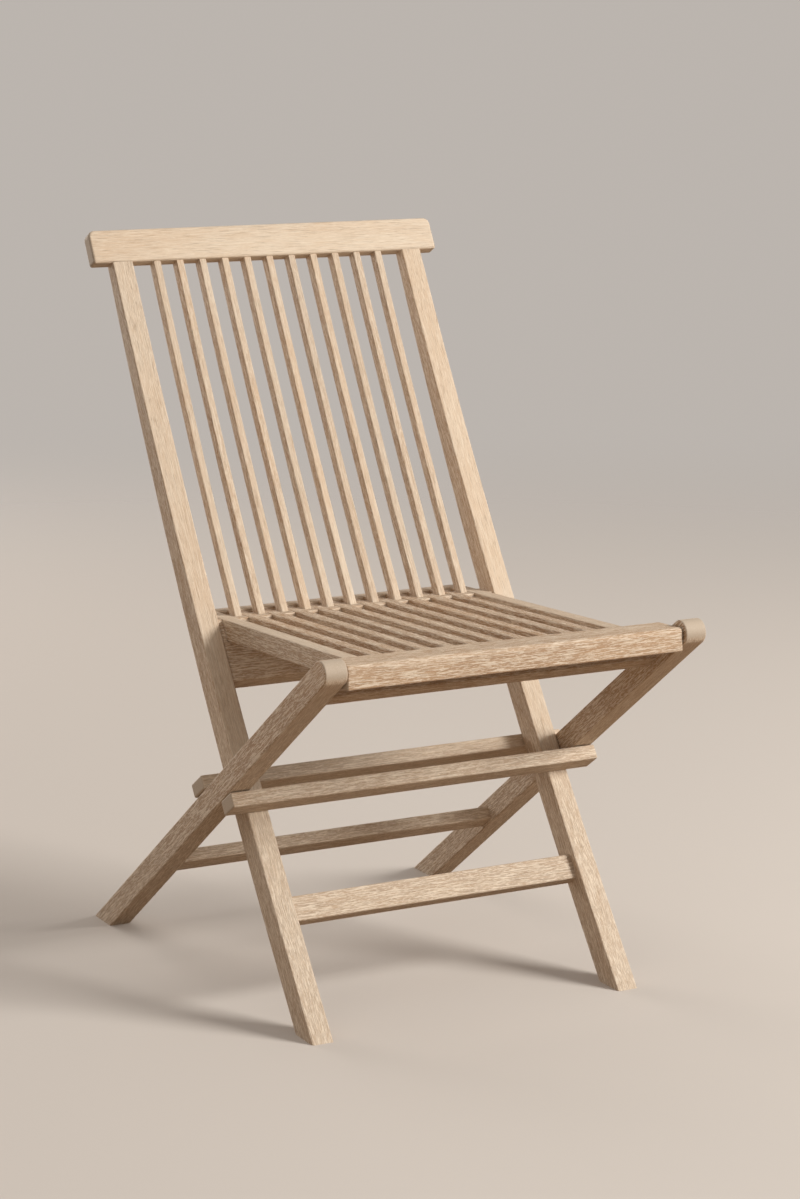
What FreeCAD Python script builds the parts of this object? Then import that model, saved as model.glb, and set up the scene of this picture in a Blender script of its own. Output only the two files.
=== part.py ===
import FreeCAD, Part
import Sketcher
import math
import os

# A folding slatted teak chair without arms, standing open on the floor.
# +Z is up, the chair faces -Y, and the origin is at the bottom centre of its box.
# Levels run up the front curve of a stile from its foot, and depths run back from that curve.
# The rear legs cross the stiles and carry the seat on their upper ends.

SIZES = {
    # stiles: two bowed boards that lean back, from the front feet to the crest rail
    "stile_wide": 28.2,
    "stile_deep": 35.4,
    "foot_straight": 60.0,
    "taper_level": 214.0,
    "stile_span": 448.0,
    "foot_lean": 37.47,
    "bow_radius": 6980.0,
    # crest rail
    "crest_level": 1028.6,
    "crest_tall": 45.0,
    "crest_overhang": 25.0,
    "crest_deep": 19.0,
    "crest_corner": 9.0,
    "crest_round": 3.5,
    # back slats
    "back_slat_wide": 10.4,
    "back_slat_top": 2.8,
    "back_slat_low": 14.4,
    "back_slat_deep": 13.6,
    "back_slat_foot": 36.0,
    # lower back rail, notched from above like a comb for the seat
    "comb_level": 459.6,
    "comb_front": 3.0,
    "comb_deep": 29.0,
    "comb_drop": 0.4,
    "comb_tenon_tall": 29.0,
    "comb_slot_tall": 107.0,
    # front stretcher
    "stretcher_level": 153.0,
    "stretcher_tall": 31.6,
    "stretcher_front": 9.1,
    "stretcher_deep": 20.0,
    # bars before and behind the stiles, against which the open legs rest
    "bar_overhang": 0.6,
    "front_bar_tall": 18.8,
    "front_bar_deep": 31.1,
    "rear_bar_tall": 17.7,
    "rear_bar_deep": 33.4,
    # rear legs
    "cross_level": 324.4,
    "leg_wide": 28.7,
    "leg_deep": 30.6,
    "leg_side_gap": 1.1,
    "leg_rail_down": 542.8,
    "leg_rail_wide": 30.9,
    "leg_rail_deep": 17.1,
    "leg_rail_inset": 9.1,
    "top_rail_down": 62.0,
    "top_rail_wide": 22.5,
    "top_rail_inset": 10.7,
    # seat, from the pivot at the top of the legs
    "pivot_front": -69.3,
    "pivot_up": 458.3,
    "seat_pitch": 3.04,
    "seat_rise": 2.1,
    "seat_rail_wide": 20.7,
    "seat_rail_tall": 25.3,
    "seat_side_gap": 6.4,
    "seat_slat_wide": 16.4,
    "seat_slat_tall": 20.0,
    "front_rail_gap": 1.5,
    "front_rail_ahead": 10.6,
    "front_rail_deep": 54.0,
    "front_rail_rise": 7.9,
    "front_rail_tall": 28.5,
    "front_rail_round": 6.0,
    "rear_rail_back": 444.0,
    "rear_rail_deep": 18.0,
    "rear_rail_tall": 22.0,
    # pins and tenons
    "pin_wide": 10.0,
    "pin_bury": 18.0,
    "pin_end_gap": 0.5,
    "pin_press": 0.02,
    "pin_run": 0.06,
    "tenon_long": 18.0,
    "tenon_shoulder": 5.0,
    "slat_tenon_long": 12.0,
    "slat_shoulder": 3.0,
    "tenon_play": 0.1,
    "tenon_end_gap": 0.4,
    # clearances, how far cuts run past what they cut, and rounded edges
    "overcut": 5.0,
    "rest_gap": 0.3,
    "notch_gap": 0.35,
    "bar_standoff": 0.05,
    "edge_round": 2.2,
    "slat_round": 1.6,
    # set below, when the whole box is known
    "box_shift": 0.0,
}
BACK_SLATS = 11
SEAT_SLATS = BACK_SLATS - 1

doc = FreeCAD.newDocument("folding_chair")
sheet = doc.addObject("Spreadsheet::Sheet", "Sizes")
for row, (alias, size) in enumerate(SIZES.items(), 1):
    sheet.set(f"A{row}", alias)
    sheet.set(f"B{row}", str(size))
    sheet.setAlias(f"B{row}", alias)
doc.recompute()


class Cells:
    """Spells a cell of the sheet as it stands in an expression: C.leg_deep is Sizes.leg_deep."""

    def __getattr__(self, alias):
        if alias not in SIZES:
            raise AttributeError(alias)
        return f"Sizes.{alias}"


C = Cells()
LEFT, RIGHT = 1, -1
NEAR = 1e-3
LONG_EDGE = 30
LEAST_CUT = 1


def number(expression):
    """What an expression of the sheet's cells comes to."""
    result = sheet.evalExpression(str(expression))
    return float(getattr(result, "Value", result))


def degrees(function, argument):
    """An inverse function of an expression, as a plain number of degrees."""
    return f"({function}({argument}) / 1 deg)"


# The front curve of a stile is an arc, so a place on the back frame is a lean from upright and a depth.

def lean(level):
    return f"({C.foot_lean} - ({level}) / {C.bow_radius} * 180 / pi)"


def place(lean_there, depth="0"):
    """Y and Z at a lean and a depth behind the front curve."""
    along = f"{C.bow_radius} * (cos({lean_there}) - cos({C.foot_lean})) + ({depth}) * cos({lean_there})"
    up = f"{C.bow_radius} * (sin({C.foot_lean}) - sin({lean_there})) - ({depth}) * sin({lean_there})"
    return along, up


def back_point(level, depth="0"):
    return place(lean(level), depth)


def seat_line_point(depth, rise):
    """Y and Z where a depth in the back frame meets a height over the pivot, square to the seat."""
    across = f"({C.pivot_front} * sin({C.seat_pitch}) + {C.pivot_up} * cos({C.seat_pitch}) + ({rise}))"
    reach = f"({C.bow_radius} * sin({C.foot_lean} - {C.seat_pitch}) - {across})"
    return place(f"({C.seat_pitch} + {degrees('asin', f'{reach} / ({C.bow_radius} + ({depth}))')})", depth)


def stile_depth(level):
    """How deep a stile is at a level above the start of its taper."""
    share = f"(({level}) - {C.taper_level}) / ({C.crest_level} - {C.taper_level})"
    return f"({C.stile_deep} - ({C.stile_deep} - {C.crest_deep}) * ({share})^2)"


# The legs turn at mid depth of the stiles, on the line from the seat's pivot through the crossing.
CROSS_DEPTH = stile_depth(C.cross_level)
CROSS_Y, CROSS_Z = back_point(C.cross_level, f"{CROSS_DEPTH} / 2")
LEG_LEAN = degrees("atan", f"({CROSS_Y} - {C.pivot_front}) / ({C.pivot_up} - ({CROSS_Z}))")
LEG_REACH = f"sqrt(({CROSS_Y} - {C.pivot_front})^2 + ({C.pivot_up} - ({CROSS_Z}))^2)"
LEG_INNER = f"({C.stile_span} / 2 + {C.leg_side_gap})"
LEG_X = f"({LEG_INNER} + {C.leg_wide} / 2)"
STILE_X = f"(({C.stile_span} - {C.stile_wide}) / 2)"
STILE_GAP = f"({C.stile_span} - 2 * {C.stile_wide})"
SEAT_HALF = f"({STILE_GAP} / 2 - {C.seat_side_gap})"
SEAT_RAIL_X = f"({SEAT_HALF} - {C.seat_rail_wide} / 2)"
FRONT_RAIL_END = f"({LEG_INNER} - {C.front_rail_gap})"
# Back slats and seat slats take turns across the chair, with one gap throughout up to the side rails.
PITCH = f"(({SEAT_HALF} - {C.seat_rail_wide} + {C.seat_slat_wide} / 2) / {BACK_SLATS / 2})"


# Bodies, outlines, pads and cuts

def plane(body, role):
    return next(item for item in body.Origin.OriginFeatures if item.Role == role)


def new_body(label, across="0", along="0", up="0", turn="0"):
    """A body whose own frame stands at a point of the chair, turned about X."""
    body = doc.addObject("PartDesign::Body", label)
    body.Label = label
    body.Placement = FreeCAD.Placement(FreeCAD.Vector(), FreeCAD.Rotation(FreeCAD.Vector(1, 0, 0), 1))
    body.setExpression(".Placement.Base.x", across)
    body.setExpression(".Placement.Base.y", f"{along} + {C.box_shift}")
    body.setExpression(".Placement.Base.z", up)
    body.setExpression(".Placement.Rotation.Angle", turn)
    return body


def leg_body(label, across="0"):
    """Y runs square to the leg, up and back, and Z runs up along it. The origin is at the seat's pivot."""
    return new_body(label, across, C.pivot_front, C.pivot_up, LEG_LEAN)


def seat_body(label, across="0"):
    """Y runs back along the seat and Z is square to it. The origin is at the seat's pivot."""
    return new_body(label, across, C.pivot_front, C.pivot_up, f"-{C.seat_pitch}")


def arc_between(start, end, radius, side):
    """An arc whose centre lies on the left (+1) or the right (-1) of the way from start to end."""
    chord = end - start
    square = FreeCAD.Vector(-chord.y, chord.x, 0) / chord.Length
    away = math.sqrt(max(radius ** 2 - (chord.Length / 2) ** 2, 0))
    centre = (start + end) / 2 + square * away * side
    first = math.atan2(start.y - centre.y, start.x - centre.x)
    last = math.atan2(end.y - centre.y, end.x - centre.x)
    if side < 0:
        first, last = last, first
    if last < first:
        last += 2 * math.pi
    return Part.ArcOfCircle(Part.Circle(centre, FreeCAD.Vector(0, 0, 1), radius), first, last)


def bind(sketch, kind, references, expression):
    """A constraint of the sketch that takes its size from an expression."""
    sketch.addConstraint(Sketcher.Constraint(kind, *references, number(expression)))
    name = f"size_{sketch.ConstraintCount}"
    sketch.renameConstraint(sketch.ConstraintCount - 1, name)
    sketch.setExpression(f"Constraints.{name}", str(expression))


def outline(body, points, bows=None, across="0"):
    """A closed sketch through points of (Y, Z). bows gives a side's radius and the side of its centre."""
    bows = bows or {}
    sketch = body.newObject("Sketcher::SketchObject", "Outline")
    sketch.AttachmentSupport = [(plane(body, "YZ_Plane"), "")]
    sketch.MapMode = "FlatFace"
    sketch.setExpression(".AttachmentOffset.Base.z", across)
    spots = [FreeCAD.Vector(number(along), number(up), 0) for along, up in points]
    ends = []
    for index, start in enumerate(spots):
        end = spots[(index + 1) % len(spots)]
        if index in bows:
            radius, side = bows[index]
            sketch.addGeometry(arc_between(start, end, number(radius), side), False)
            ends.append((1, 2) if side > 0 else (2, 1))
        else:
            sketch.addGeometry(Part.LineSegment(start, end), False)
            ends.append((1, 2))
    for index in range(len(spots)):
        following = (index + 1) % len(spots)
        joint = Sketcher.Constraint("Coincident", index, ends[index][1], following, ends[following][0])
        sketch.addConstraint(joint)
    for index, (along, up) in enumerate(points):
        corner = (-1, 1, index, ends[index][0])
        bind(sketch, "DistanceX", corner, along)
        bind(sketch, "DistanceY", corner, up)
    for index, (radius, side) in bows.items():
        bind(sketch, "Radius", (index,), radius)
    return sketch


def block(low_y, high_y, low_z, high_z):
    return [(low_y, low_z), (high_y, low_z), (high_y, high_z), (low_y, high_z)]


def back_block(low, high, front, back):
    """The four corners between two levels and two depths of the back frame."""
    return [back_point(low, front), back_point(low, back), back_point(high, back), back_point(high, front)]


def pad(body, points, wide, bows=None, across="0"):
    """A prism over an outline, half of its width to each side."""
    feature = body.newObject("PartDesign::Pad", "Pad")
    feature.Profile = outline(body, points, bows, across)
    feature.Midplane = True
    feature.setExpression("Length", wide)
    doc.recompute()
    return feature


def cut(body, points, wide, across="0"):
    """A pocket over an outline, half of its width to each side."""
    before = body.Shape.Volume
    feature = body.newObject("PartDesign::Pocket", "Mortise")
    feature.Profile = outline(body, points, None, across)
    feature.Midplane = True
    feature.setExpression("Length", wide)
    doc.recompute()
    check_cut(body, before)
    return feature


def bore(body, radius, along, up, wide, across):
    """A round hole along X, half of its length to each side of across."""
    before = body.Shape.Volume
    sketch = body.newObject("Sketcher::SketchObject", "Circle")
    sketch.AttachmentSupport = [(plane(body, "YZ_Plane"), "")]
    sketch.MapMode = "FlatFace"
    sketch.setExpression(".AttachmentOffset.Base.z", across)
    centre = FreeCAD.Vector(number(along), number(up), 0)
    sketch.addGeometry(Part.Circle(centre, FreeCAD.Vector(0, 0, 1), number(radius)), False)
    bind(sketch, "DistanceX", (-1, 1, 0, 3), along)
    bind(sketch, "DistanceY", (-1, 1, 0, 3), up)
    bind(sketch, "Radius", (0,), radius)
    feature = body.newObject("PartDesign::Pocket", "Bore")
    feature.Profile = sketch
    feature.Midplane = True
    feature.setExpression("Length", wide)
    doc.recompute()
    check_cut(body, before)
    return feature


def check_cut(body, before):
    if not body.Shape.Volume < before - LEAST_CUT:
        raise RuntimeError(f"{body.Label}: a cut takes nothing away")


def row_of(body, features, count, pitch):
    """Repeats features along X."""
    pattern = body.newObject("PartDesign::LinearPattern", "Row")
    pattern.Originals = features
    pattern.Direction = (plane(body, "X_Axis"), [""])
    pattern.Occurrences = count
    pattern.setExpression("Length", f"{count - 1} * ({pitch})")
    body.Tip = pattern
    doc.recompute()


def round_edges(body, radius, wanted):
    """Rounds the edges that wanted picks by their two ends."""
    base = body.Tip
    names = []
    for index, edge in enumerate(base.Shape.Edges, 1):
        ends = [vertex.Point for vertex in edge.Vertexes]
        if len(ends) == 2 and wanted(*ends):
            names.append(f"Edge{index}")
    feature = body.newObject("PartDesign::Fillet", "Rounding")
    feature.Base = (base, names)
    feature.setExpression("Radius", radius)
    doc.recompute()


def any_edge(start, end):
    return True


def runs_across(start, end):
    return abs(start.y - end.y) < NEAR and abs(start.z - end.z) < NEAR


def runs_along(start, end):
    """A long edge in the plane of the outline."""
    return abs(start.x - end.x) < NEAR and (end - start).Length > LONG_EDGE


# Back frame: stiles, crest rail, slats, comb rail, stretcher and stop bars

CREST_TOP = f"({C.crest_level} + {C.crest_tall})"
COMB_BACK = f"({C.comb_front} + {C.comb_deep})"
COMB_TOP = f"({C.seat_rise} - {C.comb_drop})"
STRETCHER_TOP = f"({C.stretcher_level} + {C.stretcher_tall})"
STRETCHER_BACK = f"({C.stretcher_front} + {C.stretcher_deep})"
CREST_TENON = (f"{C.tenon_shoulder}", f"({C.crest_deep} - {C.tenon_shoulder})")
LEG_SKEW = f"(90 - {LEG_LEAN} - {lean(C.cross_level)})"
STOP_RISE = f"({C.leg_deep} / 2 / cos({LEG_SKEW}) - {CROSS_DEPTH} / 2 * tan({LEG_SKEW}) + {C.rest_gap})"
FRONT_BAR_TOP = f"({C.cross_level} - {STOP_RISE})"
REAR_BAR_LOW = f"({C.cross_level} + {STOP_RISE})"
SLAT_LOW = f"({C.comb_level} + {C.back_slat_foot})"
SLAT_TOP = f"({C.crest_level} + {C.slat_tenon_long})"


def rail_tenon(low, high, front, back):
    """The four corners of a tenon that is a shoulder smaller than its rail on each side."""
    shoulder = C.tenon_shoulder
    return back_block(f"({low} + {shoulder})", f"({high} - {shoulder})",
                      f"({front} + {shoulder})", f"({back} - {shoulder})")


def rail_mortise(low, high, front, back):
    """The four corners of the hole for such a tenon."""
    shoulder = f"({C.tenon_shoulder} - {C.tenon_play})"
    return back_block(f"({low} + {shoulder})", f"({high} - {shoulder})",
                      f"({front} + {shoulder})", f"({back} - {shoulder})")


COMB = (C.comb_level, f"({C.comb_level} + {C.comb_tenon_tall})", C.comb_front, COMB_BACK)
STRETCHER = (C.stretcher_level, STRETCHER_TOP, C.stretcher_front, STRETCHER_BACK)


def slat_front(level):
    """How deep behind the stiles' front curve a back slat's face lies at a level."""
    share = f"(({SLAT_TOP} - ({level})) / ({SLAT_TOP} - {SLAT_LOW}))"
    return f"({C.back_slat_top} + ({C.back_slat_low} - {C.back_slat_top}) * {share})"


def apart(one, other):
    return f"sqrt((({one[0]}) - ({other[0]}))^2 + (({one[1]}) - ({other[1]}))^2)"


def foot_point(depth):
    """Where a stile's straight foot meets the floor at a depth."""
    along, up = back_point(C.foot_straight, depth)
    return f"({along}) - ({up}) * tan({lean(C.foot_straight)})", "0"


def slat_outline(low, high, play="0"):
    return [
        back_point(low, f"{slat_front(low)} - {play}"),
        back_point(low, f"{slat_front(low)} + {C.back_slat_deep} + {play}"),
        back_point(high, f"{slat_front(high)} + {C.back_slat_deep} + {play}"),
        back_point(high, f"{slat_front(high)} - {play}"),
    ]


def make_stile(label, side):
    body = new_body(label, f"{side} * {STILE_X}")
    taper = back_point(C.taper_level, C.stile_deep)
    top_back = back_point(C.crest_level, C.crest_deep)
    chord_lean = degrees("atan", f"({top_back[0]} - ({taper[0]})) / ({top_back[1]} - ({taper[1]}))")
    taper_radius = f"{apart(taper, top_back)} / (2 * sin({lean(C.taper_level)} - {chord_lean}))"
    points = [
        foot_point("0"), foot_point(C.stile_deep), back_point(C.foot_straight, C.stile_deep),
        taper, top_back, back_point(C.crest_level), back_point(C.foot_straight),
    ]
    bows = {
        2: (f"{C.bow_radius} + {C.stile_deep}", LEFT),
        3: (taper_radius, LEFT),
        5: (C.bow_radius, RIGHT),
    }
    pad(body, points, C.stile_wide, bows)
    round_edges(body, C.edge_round,
                lambda start, end: runs_along(start, end) and max(start.z, end.z) > NEAR)
    tenon_top = f"({C.crest_level} + {C.tenon_long})"
    tenon_low = f"({C.crest_level} - {C.tenon_long})"
    tenon = back_block(tenon_low, tenon_top, *CREST_TENON)
    pad(body, tenon, f"{C.stile_wide} - 2 * {C.tenon_shoulder}")
    deep = f"({C.tenon_long} + {C.tenon_end_gap})"
    inner = f"{side} * ({deep} - {C.stile_wide}) / 2"
    cut(body, rail_mortise(*COMB), deep, inner)
    cut(body, rail_mortise(*STRETCHER), deep, inner)
    bury = f"({C.pin_bury} + {C.pin_end_gap})"
    outer = f"{side} * ({C.stile_wide} - {bury}) / 2"
    bore(body, f"{C.pin_wide} / 2 + {C.pin_press}", CROSS_Y, CROSS_Z, bury, outer)


def make_crest_rail():
    body = new_body("crest_rail")
    wide = f"{C.stile_span} + 2 * {C.crest_overhang}"
    pad(body, back_block(C.crest_level, CREST_TOP, "0", C.crest_deep), wide)
    deep = number(C.crest_deep)
    lowest_top = number(back_point(CREST_TOP, C.crest_deep)[1])
    round_edges(body, C.crest_corner, lambda start, end: abs(start.x - end.x) < NEAR
                and abs((end - start).Length - deep) < NEAR
                and min(start.z, end.z) > lowest_top - NEAR)
    round_edges(body, C.crest_round, any_edge)
    play = C.tenon_play
    below = f"({C.crest_level} - {C.overcut})"
    hole = back_block(below, f"({C.crest_level} + {C.tenon_long} + {C.tenon_end_gap})",
                      f"({CREST_TENON[0]} - {play})", f"({CREST_TENON[1]} + {play})")
    for side in (LEFT, RIGHT):
        cut(body, hole, f"{C.stile_wide} - 2 * {C.tenon_shoulder} + 2 * {play}", f"{side} * {STILE_X}")
    slot = slat_outline(below, f"({SLAT_TOP} + {C.tenon_end_gap})", play)
    first = f"-{(BACK_SLATS - 1) / 2} * {PITCH}"
    mortise = cut(body, slot, f"{C.back_slat_wide} + 2 * {play}", first)
    row_of(body, [mortise], BACK_SLATS, PITCH)


def make_back_slat(label, place_in_row):
    body = new_body(label, f"{place_in_row} * {PITCH}")
    bows = {1: (C.bow_radius, LEFT), 3: (C.bow_radius, RIGHT)}
    pad(body, slat_outline(SLAT_LOW, SLAT_TOP), C.back_slat_wide, bows)
    round_edges(body, C.slat_round, runs_along)


def make_lower_back_rail():
    body = new_body("lower_back_rail")
    points = [
        back_point(C.comb_level, C.comb_front),
        back_point(C.comb_level, COMB_BACK),
        seat_line_point(COMB_BACK, COMB_TOP),
        seat_line_point(C.comb_front, COMB_TOP),
    ]
    pad(body, points, STILE_GAP)
    round_edges(body, C.edge_round, runs_across)
    pad(body, rail_tenon(*COMB), f"{STILE_GAP} + 2 * {C.tenon_long}")
    before = f"({C.comb_front} - {C.overcut})"
    behind = f"({COMB_BACK} + {C.overcut})"
    over = f"({COMB_TOP} + {C.overcut})"

    def notch(tall, wide, across):
        floor = f"({C.seat_rise} - {tall} - {C.notch_gap})"
        corners = [seat_line_point(before, floor), seat_line_point(behind, floor),
                   seat_line_point(behind, over), seat_line_point(before, over)]
        return cut(body, corners, f"{wide} + 2 * {C.notch_gap}", across)

    for side in (LEFT, RIGHT):
        notch(C.seat_rail_tall, C.seat_rail_wide, f"{side} * {SEAT_RAIL_X}")
    play = C.tenon_play
    first_slat = f"-{(BACK_SLATS - 1) / 2} * {PITCH}"
    slot_low = f"({SLAT_LOW} - {C.tenon_end_gap})"
    slot = slat_outline(slot_low, f"({C.comb_level} + {C.comb_slot_tall})", play)
    mortise = cut(body, slot, f"{C.back_slat_wide} + 2 * {play}", first_slat)
    row_of(body, [mortise], BACK_SLATS, PITCH)
    gap = notch(C.seat_slat_tall, C.seat_slat_wide, f"-{(SEAT_SLATS - 1) / 2} * {PITCH}")
    row_of(body, [gap], SEAT_SLATS, PITCH)


def make_front_stretcher():
    body = new_body("front_stretcher")
    pad(body, back_block(*STRETCHER), STILE_GAP)
    round_edges(body, C.edge_round, runs_across)
    pad(body, rail_tenon(*STRETCHER), f"{STILE_GAP} + 2 * {C.tenon_long}")


def make_bar(label, low, high, front, back):
    body = new_body(label)
    pad(body, back_block(low, high, front, back), f"2 * ({LEG_INNER} + {C.leg_wide} + {C.bar_overhang})")
    round_edges(body, C.edge_round, any_edge)


# Rear legs and the two rails between them, in the frame of the leg

LOW_RAIL_BACK = f"({C.leg_deep} / 2 - {C.leg_rail_inset})"
LOW_RAIL_LOW = f"(-{C.leg_rail_down} - {C.leg_rail_wide})"
LOW_RAIL = (f"({LOW_RAIL_BACK} - {C.leg_rail_deep})", LOW_RAIL_BACK, LOW_RAIL_LOW, f"-{C.leg_rail_down}")
TOP_RAIL_FRONT = f"({C.top_rail_inset} - {C.leg_deep} / 2)"
TOP_RAIL_LOW = f"(-{C.top_rail_down} - {C.top_rail_wide})"
TOP_RAIL = (TOP_RAIL_FRONT, f"({TOP_RAIL_FRONT} + {C.leg_rail_deep})", TOP_RAIL_LOW, f"-{C.top_rail_down}")


def inset_block(low_y, high_y, low_z, high_z, inset):
    return block(f"({low_y} + {inset})", f"({high_y} - {inset})",
                 f"({low_z} + {inset})", f"({high_z} - {inset})")


def make_leg(label, side):
    body = leg_body(label, f"{side} * {LEG_X}")
    half = f"({C.leg_deep} / 2)"
    foot_front = f"-({C.pivot_up} - {half} * sin({LEG_LEAN})) / cos({LEG_LEAN})"
    foot_heel = f"-({C.pivot_up} + {half} * sin({LEG_LEAN})) / cos({LEG_LEAN})"
    points = [(f"-{half}", foot_front), (half, foot_heel), (half, "0"), ("0", half), (f"-{half}", "0")]
    pad(body, points, C.leg_wide, {2: (half, LEFT), 3: (half, LEFT)})
    floor = number(foot_front)
    round_edges(body, C.edge_round, lambda start, end: not runs_across(start, end)
                and max(start.z, end.z) > floor + NEAR)
    deep = f"({C.tenon_long} + {C.tenon_end_gap})"
    inner = f"{side} * ({deep} - {C.leg_wide}) / 2"
    shoulder = f"({C.tenon_shoulder} - {C.tenon_play})"
    for rail in (LOW_RAIL, TOP_RAIL):
        cut(body, inset_block(*rail, shoulder), deep, inner)
    bury = f"({C.pin_bury} + {C.pin_end_gap})"
    pin_side = f"{side} * ({bury} - {C.leg_wide}) / 2"
    for down in (LEG_REACH, "0"):
        bore(body, f"{C.pin_wide} / 2 + {C.pin_run}", "0", f"-{down}", bury, pin_side)


def make_leg_rail(label, rail):
    body = leg_body(label)
    between = f"2 * {LEG_INNER}"
    pad(body, block(*rail), between)
    round_edges(body, C.edge_round, runs_across)
    pad(body, inset_block(*rail, C.tenon_shoulder), f"{between} + 2 * {C.tenon_long}")


# Seat, in the frame of the seat

FRONT_FACE = f"-{C.front_rail_ahead}"
FRONT_BACK = f"({C.front_rail_deep} - {C.front_rail_ahead})"
FRONT_LOW = f"({C.front_rail_rise} - {C.front_rail_tall})"
REAR_BACK = f"({C.rear_rail_back} + {C.rear_rail_deep})"
SEAT_TENON_LOW = f"({C.seat_rise} - {C.seat_slat_tall} + 2 * {C.slat_shoulder})"
SEAT_TENON_TOP = f"({C.seat_rise} - 2 * {C.slat_shoulder})"


def seat_tenon_hole(start, end):
    play = C.tenon_play
    return block(start, end, f"({SEAT_TENON_LOW} - {play})", f"({SEAT_TENON_TOP} + {play})")


def cut_seat_mortises(body, start, end):
    """A mortise for each seat slat and each side rail, in the front or the rear rail."""
    wide = f"(2 * {C.tenon_play} - 2 * {C.slat_shoulder})"
    for side in (LEFT, RIGHT):
        cut(body, seat_tenon_hole(start, end), f"{C.seat_rail_wide} + {wide}", f"{side} * {SEAT_RAIL_X}")
    first = f"-{(SEAT_SLATS - 1) / 2} * {PITCH}"
    mortise = cut(body, seat_tenon_hole(start, end), f"{C.seat_slat_wide} + {wide}", first)
    row_of(body, [mortise], SEAT_SLATS, PITCH)


def make_seat_front_rail():
    body = seat_body("seat_front_rail")
    pad(body, block(FRONT_FACE, FRONT_BACK, FRONT_LOW, C.front_rail_rise), f"2 * {FRONT_RAIL_END}")
    round_edges(body, C.front_rail_round, lambda start, end: runs_across(start, end) and start.z > 0)
    round_edges(body, C.edge_round, any_edge)
    deepest = f"({FRONT_BACK} - {C.slat_tenon_long} - {C.tenon_end_gap})"
    cut_seat_mortises(body, deepest, f"({FRONT_BACK} + {C.overcut})")
    bury = f"({C.pin_bury} + {C.pin_end_gap})"
    for side in (LEFT, RIGHT):
        bore(body, f"{C.pin_wide} / 2 + {C.pin_press}", "0", "0", bury,
             f"{side} * ({FRONT_RAIL_END} - {bury} / 2)")


def make_seat_rear_rail():
    body = seat_body("seat_rear_rail")
    low = f"({C.seat_rise} - {C.rear_rail_tall})"
    pad(body, block(C.rear_rail_back, REAR_BACK, low, C.seat_rise), f"2 * {SEAT_HALF}")
    round_edges(body, C.edge_round, any_edge)
    deepest = f"({C.rear_rail_back} + {C.slat_tenon_long} + {C.tenon_end_gap})"
    cut_seat_mortises(body, f"({C.rear_rail_back} - {C.overcut})", deepest)


def make_seat_bar(label, across, wide, tall):
    """A side rail or a slat of the seat, tenoned into the front and the rear rail."""
    body = seat_body(label, across)
    pad(body, block(FRONT_BACK, C.rear_rail_back, f"({C.seat_rise} - {tall})", C.seat_rise), wide)
    round_edges(body, C.slat_round, runs_along)
    start = f"({FRONT_BACK} - {C.slat_tenon_long})"
    end = f"({C.rear_rail_back} + {C.slat_tenon_long})"
    pad(body, block(start, end, SEAT_TENON_LOW, SEAT_TENON_TOP), f"{wide} - 2 * {C.slat_shoulder}")


# Hinge pins: a pair at the crossing and a pair at the top of the legs

def make_pins(label, along, up, inner_face):
    """Two pins along X, each from inside the inner piece to inside the leg."""
    group = doc.addObject("Part::MultiFuse", label)
    group.Label = label
    pins = []
    for side in (LEFT, RIGHT):
        pin = doc.addObject("Part::Cylinder", "Pin")
        pin.setExpression("Radius", f"{C.pin_wide} / 2")
        pin.setExpression("Height", f"{LEG_INNER} - {inner_face} + 2 * {C.pin_bury}")
        outward = FreeCAD.Rotation(FreeCAD.Vector(0, 1, 0), side * 90)
        pin.Placement = FreeCAD.Placement(FreeCAD.Vector(), outward)
        pin.setExpression(".Placement.Base.x", f"{side} * ({inner_face} - {C.pin_bury})")
        pin.setExpression(".Placement.Base.y", f"{along} + {C.box_shift}")
        pin.setExpression(".Placement.Base.z", up)
        pins.append(pin)
    group.Shapes = pins
    return group


for name, side in (("left", LEFT), ("right", RIGHT)):
    make_stile(f"{name}_stile", side)
    make_leg(f"{name}_cross_leg", side)
    make_seat_bar(f"{name}_seat_rail", f"{side} * {SEAT_RAIL_X}", C.seat_rail_wide, C.seat_rail_tall)
make_crest_rail()
make_lower_back_rail()
make_front_stretcher()
make_bar("front_guide_bar", f"({FRONT_BAR_TOP} - {C.front_bar_tall})", FRONT_BAR_TOP,
         f"-({C.front_bar_deep})", f"-{C.bar_standoff}")
rear_face = f"({stile_depth(REAR_BAR_LOW)} + {C.bar_standoff})"
make_bar("rear_guide_bar", REAR_BAR_LOW, f"({REAR_BAR_LOW} + {C.rear_bar_tall})",
         rear_face, f"({rear_face} + {C.rear_bar_deep})")
for index in range(BACK_SLATS):
    make_back_slat(f"back_slat_{index + 1:02d}", index - (BACK_SLATS - 1) / 2)
make_leg_rail("cross_leg_stretcher", LOW_RAIL)
make_leg_rail("cross_leg_top_rail", TOP_RAIL)
make_seat_front_rail()
make_seat_rear_rail()
for index in range(SEAT_SLATS):
    across = f"{index - (SEAT_SLATS - 1) / 2} * {PITCH}"
    make_seat_bar(f"seat_slat_{index + 1:02d}", across, C.seat_slat_wide, C.seat_slat_tall)
make_pins("crossing_pins", CROSS_Y, CROSS_Z, f"{C.stile_span} / 2")
make_pins("seat_pivot_pins", C.pivot_front, C.pivot_up, FRONT_RAIL_END)
doc.recompute()

# The box of the whole chair sets where its middle lies.
pieces = [item for item in doc.Objects if item.TypeId in ("PartDesign::Body", "Part::MultiFuse")]
box = FreeCAD.BoundBox()
for piece in pieces:
    box.add(piece.Shape.optimalBoundingBox(False))
sheet.set(sheet.getCellFromAlias("box_shift"), str(-(box.YMin + box.YMax) / 2))
doc.recompute()

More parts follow.
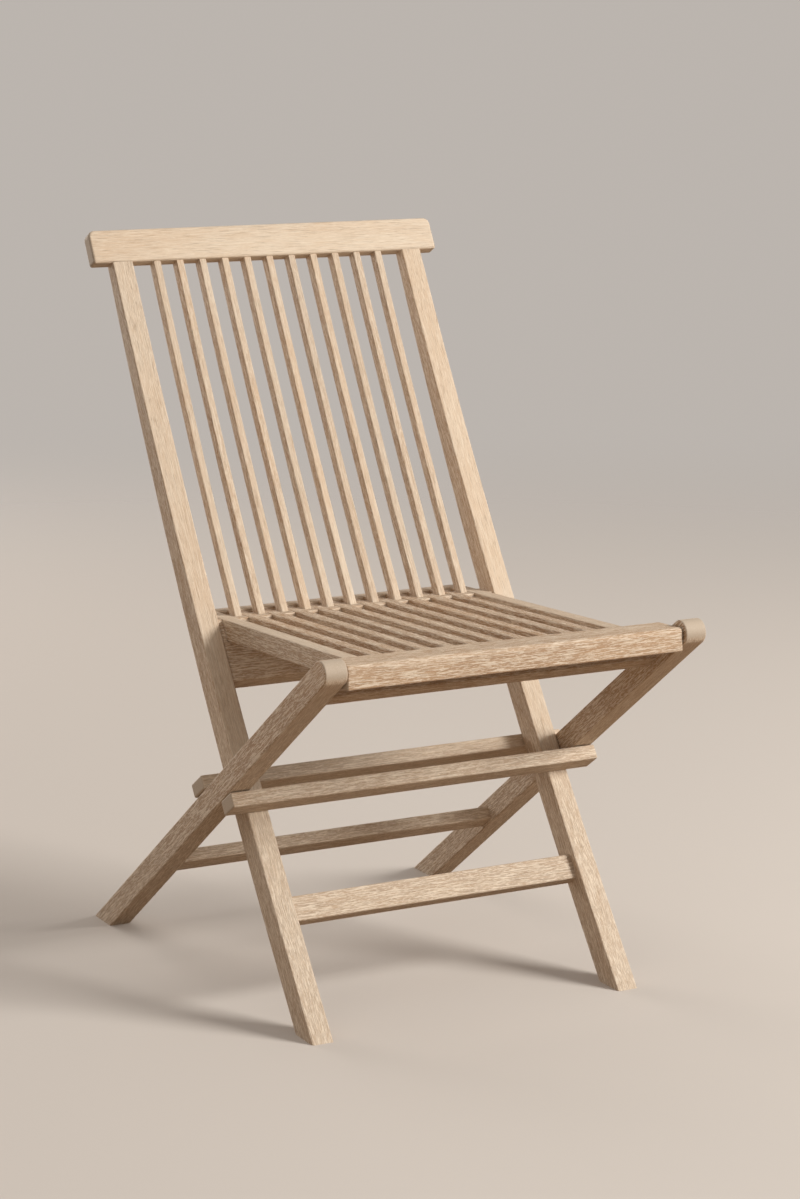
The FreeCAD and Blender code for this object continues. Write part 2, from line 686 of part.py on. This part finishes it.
for item in doc.Objects:
    if "Invalid" in item.State or "Error" in item.State:
        raise RuntimeError(f"{item.Label}: {item.State}")
for piece in pieces:
    if piece.Shape.isNull() or not piece.Shape.isValid():
        raise RuntimeError(f"{piece.Label}: its shape is not valid")
os.makedirs("parts", exist_ok=True)
for piece in pieces:
    piece.Shape.exportStep(f"parts/{piece.Label}.step")
print(len(pieces), "pieces")
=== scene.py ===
import math

import bpy
import numpy as np
from mathutils import Matrix, Vector


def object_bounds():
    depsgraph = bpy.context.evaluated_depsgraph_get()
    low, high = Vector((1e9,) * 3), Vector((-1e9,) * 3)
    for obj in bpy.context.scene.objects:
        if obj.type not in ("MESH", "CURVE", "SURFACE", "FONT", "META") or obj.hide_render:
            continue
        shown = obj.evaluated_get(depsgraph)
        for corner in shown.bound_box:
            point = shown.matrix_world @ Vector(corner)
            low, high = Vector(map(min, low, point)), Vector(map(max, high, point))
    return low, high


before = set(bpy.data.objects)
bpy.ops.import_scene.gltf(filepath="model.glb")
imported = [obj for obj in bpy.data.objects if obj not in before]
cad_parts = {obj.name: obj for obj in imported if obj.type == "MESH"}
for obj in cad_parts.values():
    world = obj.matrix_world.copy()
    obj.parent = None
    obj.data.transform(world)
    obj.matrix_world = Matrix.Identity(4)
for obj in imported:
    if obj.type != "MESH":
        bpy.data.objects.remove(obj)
CAD_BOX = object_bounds()

# The photograph's camera, in the chair's frame
IMAGE_WIDE, IMAGE_TALL = 800, 1199
FOCAL_PIXELS = 3080.4
CENTRE_PIXEL = (346.3, 450.3)
CAMERA_PLACE = Vector((-1.790, -3.2876, 1.2459))
CAMERA_YAW, CAMERA_PITCH, CAMERA_ROLL = (math.radians(angle) for angle in (27.92, -9.12, 0.34))
SENSOR = 36.0

# Teak, limed and a little weathered, as linear colours; the grey also paints shade on the lower chair
WOOD_PALE = (0.67, 0.565, 0.445)
WOOD_BROWN = (0.34, 0.205, 0.115)
WOOD_WARM = (0.56, 0.37, 0.22)
WOOD_GREY = (0.43, 0.345, 0.265)
PORE_DARK = (0.20, 0.12, 0.065)
LIMED = (0.80, 0.70, 0.57)
END_GRAIN = (0.43, 0.36, 0.285)
BRASS = (0.62, 0.45, 0.19)

# Noise: its counts per metre along the grain and across it, its detail and its roughness
WAVER = ((5, 9), 1.0, 0.5)
FIBRE = ((30, 1000), 3.0, 0.6)
DRAWN = ((20, 1500), 3.0, 0.6)
# The same for the patterns that fade in between two levels of their noise
PATTERNS = {
    "patch": ((3.5, 9), 3.0, 0.6, (0.35, 0.65)),
    "band": ((2.2, 45), 3.0, 0.55, (0.36, 0.64)),
    "pore": ((38, 850), 2.0, 0.6, (0.55, 0.72)),
    "lime": ((42, 800), 2.0, 0.6, (0.50, 0.60)),
    "fine_lime": ((150, 1000), 2.0, 0.6, (0.52, 0.60)),
}
# How far the grain wavers, and how far along and across it a piece may be cut from its board
WAVER_REACH = 0.006
BOARD_REACH = 9.0

# How brown each kind of piece is, from 0 to 1: partly its own tone and partly painted shade, browner for the
# seat, lower rails and legs that lay in shade and paler for the back that lay in light; and how much its own
# tone may differ
BROWN_AND_SHADE = {
    "crest_rail": 0.14, "stile": 0.08, "back_slat": 0.18, "lower_back_rail": 0.72,
    "front_stretcher": 0.62, "front_guide_bar": 0.5, "rear_guide_bar": 0.34,
    "cross_leg_stretcher": 0.5, "cross_leg_top_rail": 0.8, "cross_leg": 0.38,
    "seat_front_rail": 0.8, "seat_rear_rail": 0.6, "seat_rail": 0.2, "seat_slat": 0.92,
}
TONE_SPREAD = 0.12
GREY_SPREAD = 0.4
# Painted shade on faces square to X, partly their darker side-grain tone: the brown they add, between these
# levels of the normal
SIDE_SHADE_BROWN, SIDE_SHADE_LEVELS = 0.7, (0.4, 0.9)
BAND_SHARE = (-0.06, 0.12)
PATCH_SHARE = 0.3
FIBRE_SHARE, FIBRE_LEVELS = 0.3, (0.35, 0.72)
PORE_SHARE = 0.34
END_SHARE, END_LEVELS = 0.8, (0.35, 0.8)
# Liming shows on brown wood, whose brown is partly painted shade, and on the wood painted grey as shade low
# down: its share where they're low, and where they're high
LIME_SHARE, FINE_LIME_SHARE = (0.3, 0.6), (0.16, 0.5)
LIME_LEVELS = (0.1, 0.65)
LOW_SHADE_LIME = 0.7
# Painted shade: the wood turns greyer and darker below the top height, fully at the low one, up to this
# share
LOW_SHADE_TOP, LOW_SHADE_FULL, LOW_SHADE_SHARE = 0.44, 0.1, 0.6
WOOD_GLOSS = 0.3
WOOD_ROUGHNESS = (0.3, 0.7, 0.58, 0.74)
STREAK_BUMP, BUMP_STRENGTH, LIME_RELIEF = 0.0004, 0.6, 0.5
BRASS_DULL = (0.3, 0.7, 0.0, 0.35)
BRASS_ROUGHNESS = (0.3, 0.7, 0.32, 0.5)

FLOOR_SIZE = 30
FLOOR_COLOUR = (0.60, 0.555, 0.515)
FLOOR_BOUNCE = (0.27, 0.19, 0.13)
FLOOR_ROUGHNESS, FLOOR_GLOSS = 0.9, 0.1
FLOOR_FADE = (1.6, 4.5)
BACKDROP = (0.50, 0.46, 0.425)
# The world's light grows from its first strength to its second as the look upward rises from low to high
WORLD_COLOUR, WORLD_LEVELS = (1.0, 0.93, 0.87), (0.08, 0.42)
WORLD_LOW, WORLD_HIGH = -0.2, 0.6
LAMP_TARGET = Vector((0, 0, 0.5))
# Each lamp's place, size, power and colour
LAMPS = {
    "key": (Vector((3.9, -3.6, 3.1)), 2.4, 420, (1.0, 0.97, 0.92)),
    "fill": (Vector((-4.2, -3.4, 1.2)), 3.5, 44, (1.0, 0.84, 0.68)),
    "rear": (Vector((-1.2, 4.6, 1.3)), 3.0, 110, (1.0, 0.93, 0.86)),
}


class Nodes:
    """Adds shader nodes to one material and joins them."""

    # The colour sockets of a mix node
    FIRST_COLOUR, SECOND_COLOUR, MIXED_COLOUR = 6, 7, 2

    def __init__(self, name):
        self.material = bpy.data.materials.new(name)
        self.material.use_nodes = True
        self.tree = self.material.node_tree
        self.shader = self.tree.nodes["Principled BSDF"]

    def join(self, source, socket):
        self.tree.links.new(source, socket)

    def add(self, kind, **settings):
        node = self.tree.nodes.new(kind)
        for key, setting in settings.items():
            setattr(node, key, setting)
        return node

    def feed(self, socket, source):
        """Sets a socket to a number or a colour, or joins it to another node's output."""
        if isinstance(source, (int, float)):
            socket.default_value = source
        elif isinstance(source, tuple):
            socket.default_value = (*source, 1.0)
        else:
            self.join(source, socket)

    def dot(self, vector, axis):
        node = self.add("ShaderNodeVectorMath", operation="DOT_PRODUCT")
        self.join(vector, node.inputs[0])
        node.inputs[1].default_value = axis
        return node.outputs["Value"]

    def maths(self, operation, *sources):
        node = self.add("ShaderNodeMath", operation=operation)
        for socket, source in zip(node.inputs, sources):
            self.feed(socket, source)
        return node.outputs[0]

    def vector(self, operation, *sources):
        node = self.add("ShaderNodeVectorMath", operation=operation)
        for socket, source in zip(node.inputs, sources):
            self.join(source, socket)
        return node

    def noise(self, vector, counts, detail, roughness):
        """Noise with so many counts per metre along the grain and across it."""
        along, across = counts
        scale = self.add("ShaderNodeVectorMath", operation="MULTIPLY")
        self.join(vector, scale.inputs[0])
        scale.inputs[1].default_value = (along, across, across)
        node = self.add("ShaderNodeTexNoise")
        self.join(scale.outputs[0], node.inputs["Vector"])
        node.inputs["Scale"].default_value = 1.0
        node.inputs["Detail"].default_value = detail
        node.inputs["Roughness"].default_value = roughness
        return node.outputs["Fac"]

    def ramp(self, source, low, high, start=0.0, end=1.0):
        """A source between low and high, spread from start to end."""
        node = self.add("ShaderNodeMapRange", interpolation_type="SMOOTHSTEP")
        self.join(source, node.inputs["Value"])
        for name, setting in zip(("From Min", "From Max", "To Min", "To Max"), (low, high, start, end)):
            node.inputs[name].default_value = setting
        return node.outputs["Result"]

    def mix(self, share, first, second):
        """A colour between two colours."""
        node = self.add("ShaderNodeMix", data_type="RGBA")
        self.feed(node.inputs["Factor"], share)
        self.feed(node.inputs[self.FIRST_COLOUR], first)
        self.feed(node.inputs[self.SECOND_COLOUR], second)
        return node.outputs[self.MIXED_COLOUR]


def grain_axes(node):
    """The long axis of a node's mesh, and two axes square to it."""
    points = np.array([vertex.co[:] for vertex in node.data.vertices])
    turned = np.linalg.svd(points - points.mean(axis=0), full_matrices=False)[2]
    return [Vector(axis) for axis in turned]


def brown_and_shade_of(name):
    """How brown a piece is, painted shade included: the first kind that its name holds."""
    return next(brown for kind, brown in BROWN_AND_SHADE.items() if kind in name)


def grain_space(wood, axes, where, chance):
    """Coordinates along the grain and across it, wavering a little, and shifted by chance for each piece."""
    straight = wood.add("ShaderNodeCombineXYZ")
    for socket, axis in zip(straight.inputs, axes):
        shift = float(chance.uniform(-BOARD_REACH, BOARD_REACH))
        wood.join(wood.maths("ADD", wood.dot(where.outputs["Object"], axis), shift), socket)
    waver = wood.maths("MULTIPLY", wood.noise(straight.outputs[0], *WAVER), WAVER_REACH)
    offset = wood.add("ShaderNodeCombineXYZ")
    wood.join(waver, offset.inputs[1])
    wood.join(waver, offset.inputs[2])
    return wood.vector("ADD", straight.outputs[0], offset.outputs[0]).outputs[0]


def wood_colour(wood, name, where, chance, patterns, fibre, ends):
    """The wood's colour: its tone with painted shade, then bands, patches, painted shade low down, fibres,
    pores, liming and end grain.
    """
    # Faces square to X turn browner: painted shade of the shaded sides, partly side-grain tone
    sides = wood.maths("ABSOLUTE", wood.dot(where.outputs["Normal"], (1, 0, 0)))
    # The brownness of the piece's kind holds painted shade as well as its own tone
    own_brown_and_shade = max(brown_and_shade_of(name) + float(chance.uniform(-TONE_SPREAD, TONE_SPREAD)), 0.0)
    brown = wood.maths("ADD", wood.ramp(sides, *SIDE_SHADE_LEVELS, 0.0, SIDE_SHADE_BROWN), own_brown_and_shade)
    brown = wood.maths("ADD", brown, wood.ramp(patterns["band"], 0.0, 1.0, *BAND_SHARE))
    colour = wood.mix(brown, WOOD_PALE, WOOD_BROWN)
    colour = wood.mix(wood.ramp(patterns["patch"], 0.0, 1.0, 0.0, PATCH_SHARE), colour, WOOD_WARM)
    colour = wood.mix(float(chance.uniform(0.0, GREY_SPREAD)), colour, WOOD_GREY)
    height = wood.dot(where.outputs["Object"], (0, 0, 1))
    # Painted shade: greyer and darker towards the floor, where the chair lay in shade
    low_shade = wood.ramp(height, LOW_SHADE_FULL, LOW_SHADE_TOP, LOW_SHADE_SHARE, 0.0)
    colour = wood.mix(low_shade, colour, WOOD_GREY)
    colour = wood.mix(wood.ramp(fibre, *FIBRE_LEVELS, 0.0, FIBRE_SHARE), colour, WOOD_WARM)
    colour = wood.mix(wood.maths("MULTIPLY", patterns["pore"], PORE_SHARE), colour, PORE_DARK)
    showing = wood.maths("ADD", brown, wood.maths("MULTIPLY", low_shade, LOW_SHADE_LIME))
    for pattern, share in (("fine_lime", FINE_LIME_SHARE), ("lime", LIME_SHARE)):
        strength = wood.maths("MULTIPLY", patterns[pattern], wood.ramp(showing, *LIME_LEVELS, *share))
        colour = wood.mix(strength, colour, LIMED)
    return wood.mix(wood.maths("MULTIPLY", ends, END_SHARE), colour, END_GRAIN)


def teak(node, seed):
    """Teak for one piece, with its grain along the piece and a tone of its own."""
    chance = np.random.default_rng(seed)
    wood = Nodes(f"teak_{node.name}")
    where = wood.add("ShaderNodeTexCoord")
    axes = grain_axes(node)
    place = grain_space(wood, axes, where, chance)
    ends = wood.ramp(wood.maths("ABSOLUTE", wood.dot(where.outputs["Normal"], axes[0])), *END_LEVELS)
    fibre = wood.noise(place, *FIBRE)
    patterns = {
        name: wood.ramp(wood.noise(place, *noise), *levels) for name, (*noise, levels) in PATTERNS.items()
    }
    colour = wood_colour(wood, node.name, where, chance, patterns, fibre, ends)
    wood.join(colour, wood.shader.inputs["Base Color"])
    wood.join(wood.ramp(fibre, *WOOD_ROUGHNESS), wood.shader.inputs["Roughness"])
    wood.shader.inputs["Specular IOR Level"].default_value = WOOD_GLOSS

    raised = wood.maths("ADD", fibre, wood.maths("MULTIPLY", patterns["lime"], LIME_RELIEF))
    bump = wood.add("ShaderNodeBump")
    bump.inputs["Distance"].default_value = STREAK_BUMP
    along = wood.maths("SUBTRACT", 1.0, ends)
    wood.join(wood.maths("MULTIPLY", along, BUMP_STRENGTH), bump.inputs["Strength"])
    wood.join(wood.maths("SUBTRACT", raised, patterns["pore"]), bump.inputs["Height"])
    wood.join(bump.outputs["Normal"], wood.shader.inputs["Normal"])
    return wood.material


def brass(node):
    """Dull brass rod, drawn along its length."""
    metal = Nodes(f"brass_{node.name}")
    where = metal.add("ShaderNodeTexCoord")
    drawn = metal.noise(where.outputs["Object"], *DRAWN)
    colour = metal.mix(metal.ramp(drawn, *BRASS_DULL), BRASS, WOOD_WARM)
    metal.join(colour, metal.shader.inputs["Base Color"])
    metal.join(metal.ramp(drawn, *BRASS_ROUGHNESS), metal.shader.inputs["Roughness"])
    metal.shader.inputs["Metallic"].default_value = 1.0
    return metal.material


def dress_chair():
    for seed, (name, node) in enumerate(sorted(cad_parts.items())):
        material = brass(node) if name.endswith("pins") else teak(node, seed)
        node.data.materials.clear()
        node.data.materials.append(material)


def lay_floor():
    """A pale floor that fades into the backdrop, and throws little light back up."""
    bpy.ops.mesh.primitive_plane_add(size=FLOOR_SIZE, location=(0, 0, CAD_BOX[0][2]))
    floor = bpy.context.object
    floor.name = "floor"
    plaster = Nodes("floor")
    path = plaster.add("ShaderNodeLightPath")
    shown = plaster.mix(path.outputs["Is Camera Ray"], FLOOR_BOUNCE, FLOOR_COLOUR)
    plaster.join(shown, plaster.shader.inputs["Base Color"])
    plaster.shader.inputs["Roughness"].default_value = FLOOR_ROUGHNESS
    plaster.shader.inputs["Specular IOR Level"].default_value = FLOOR_GLOSS
    where = plaster.add("ShaderNodeTexCoord")
    away = plaster.vector("LENGTH", where.outputs["Object"])
    fade = plaster.add("ShaderNodeMixShader")
    clear = plaster.add("ShaderNodeBsdfTransparent")
    plaster.join(plaster.ramp(away.outputs["Value"], *FLOOR_FADE), fade.inputs["Fac"])
    plaster.join(plaster.shader.outputs[0], fade.inputs[1])
    plaster.join(clear.outputs[0], fade.inputs[2])
    plaster.join(fade.outputs[0], plaster.tree.nodes["Material Output"].inputs["Surface"])
    floor.data.materials.append(plaster.material)


def add_lamp(name, place, size, power, colour):
    lamp = bpy.data.lights.new(name, "AREA")
    lamp.shape = "DISK"
    lamp.size = size
    lamp.energy = power
    lamp.color = colour
    holder = bpy.data.objects.new(name, lamp)
    holder.location = place
    holder.rotation_euler = (LAMP_TARGET - place).to_track_quat("-Z", "Y").to_euler()
    bpy.context.scene.collection.objects.link(holder)


def light_world():
    """Soft light from all round, and a plain backdrop where the camera or a reflection sees it."""
    world = bpy.data.worlds.new("soft")
    world.use_nodes = True
    nodes, join = world.node_tree.nodes, world.node_tree.links.new
    light = nodes["Background"]
    light.inputs["Color"].default_value = (*WORLD_COLOUR, 1.0)
    where = nodes.new("ShaderNodeTexCoord")
    upward = nodes.new("ShaderNodeSeparateXYZ")
    join(where.outputs["Generated"], upward.inputs[0])
    level = nodes.new("ShaderNodeMapRange")
    join(upward.outputs["Z"], level.inputs["Value"])
    level.inputs["From Min"].default_value, level.inputs["From Max"].default_value = WORLD_LOW, WORLD_HIGH
    level.inputs["To Min"].default_value, level.inputs["To Max"].default_value = WORLD_LEVELS
    join(level.outputs["Result"], light.inputs["Strength"])
    backdrop = nodes.new("ShaderNodeBackground")
    backdrop.inputs["Color"].default_value = (*BACKDROP, 1.0)
    path = nodes.new("ShaderNodeLightPath")
    seen = path.outputs["Is Camera Ray"]
    for name in ("Is Glossy Ray", "Is Transmission Ray"):
        either = nodes.new("ShaderNodeMath")
        either.operation = "MAXIMUM"
        join(seen, either.inputs[0])
        join(path.outputs[name], either.inputs[1])
        seen = either.outputs[0]
    choice = nodes.new("ShaderNodeMixShader")
    join(seen, choice.inputs["Fac"])
    join(light.outputs[0], choice.inputs[1])
    join(backdrop.outputs[0], choice.inputs[2])
    join(choice.outputs[0], nodes["World Output"].inputs["Surface"])
    bpy.context.scene.world = world


def set_camera():
    """The photograph's camera: its place, its aim, its focal length and where its axis meets the picture."""
    data = bpy.data.cameras.new("camera")
    data.sensor_fit = "HORIZONTAL"
    data.sensor_width = SENSOR
    data.lens = FOCAL_PIXELS / IMAGE_WIDE * SENSOR
    data.shift_x = (IMAGE_WIDE / 2 - CENTRE_PIXEL[0]) / IMAGE_WIDE
    data.shift_y = (CENTRE_PIXEL[1] - IMAGE_TALL / 2) / IMAGE_WIDE
    camera = bpy.data.objects.new("camera", data)
    ahead = Vector((
        math.sin(CAMERA_YAW) * math.cos(CAMERA_PITCH),
        math.cos(CAMERA_YAW) * math.cos(CAMERA_PITCH),
        math.sin(CAMERA_PITCH),
    ))
    right = ahead.cross(Vector((0, 0, 1))).normalized()
    up = right.cross(ahead)
    turn = Matrix((right, up, -ahead)).transposed() @ Matrix.Rotation(CAMERA_ROLL, 3, "Z")
    camera.matrix_world = Matrix.Translation(CAMERA_PLACE) @ turn.to_4x4()
    bpy.context.scene.collection.objects.link(camera)
    bpy.context.scene.camera = camera
    bpy.context.scene.view_settings.view_transform = "Standard"


dress_chair()
lay_floor()
for lamp_name, settings in LAMPS.items():
    add_lamp(lamp_name, *settings)
light_world()
set_camera()
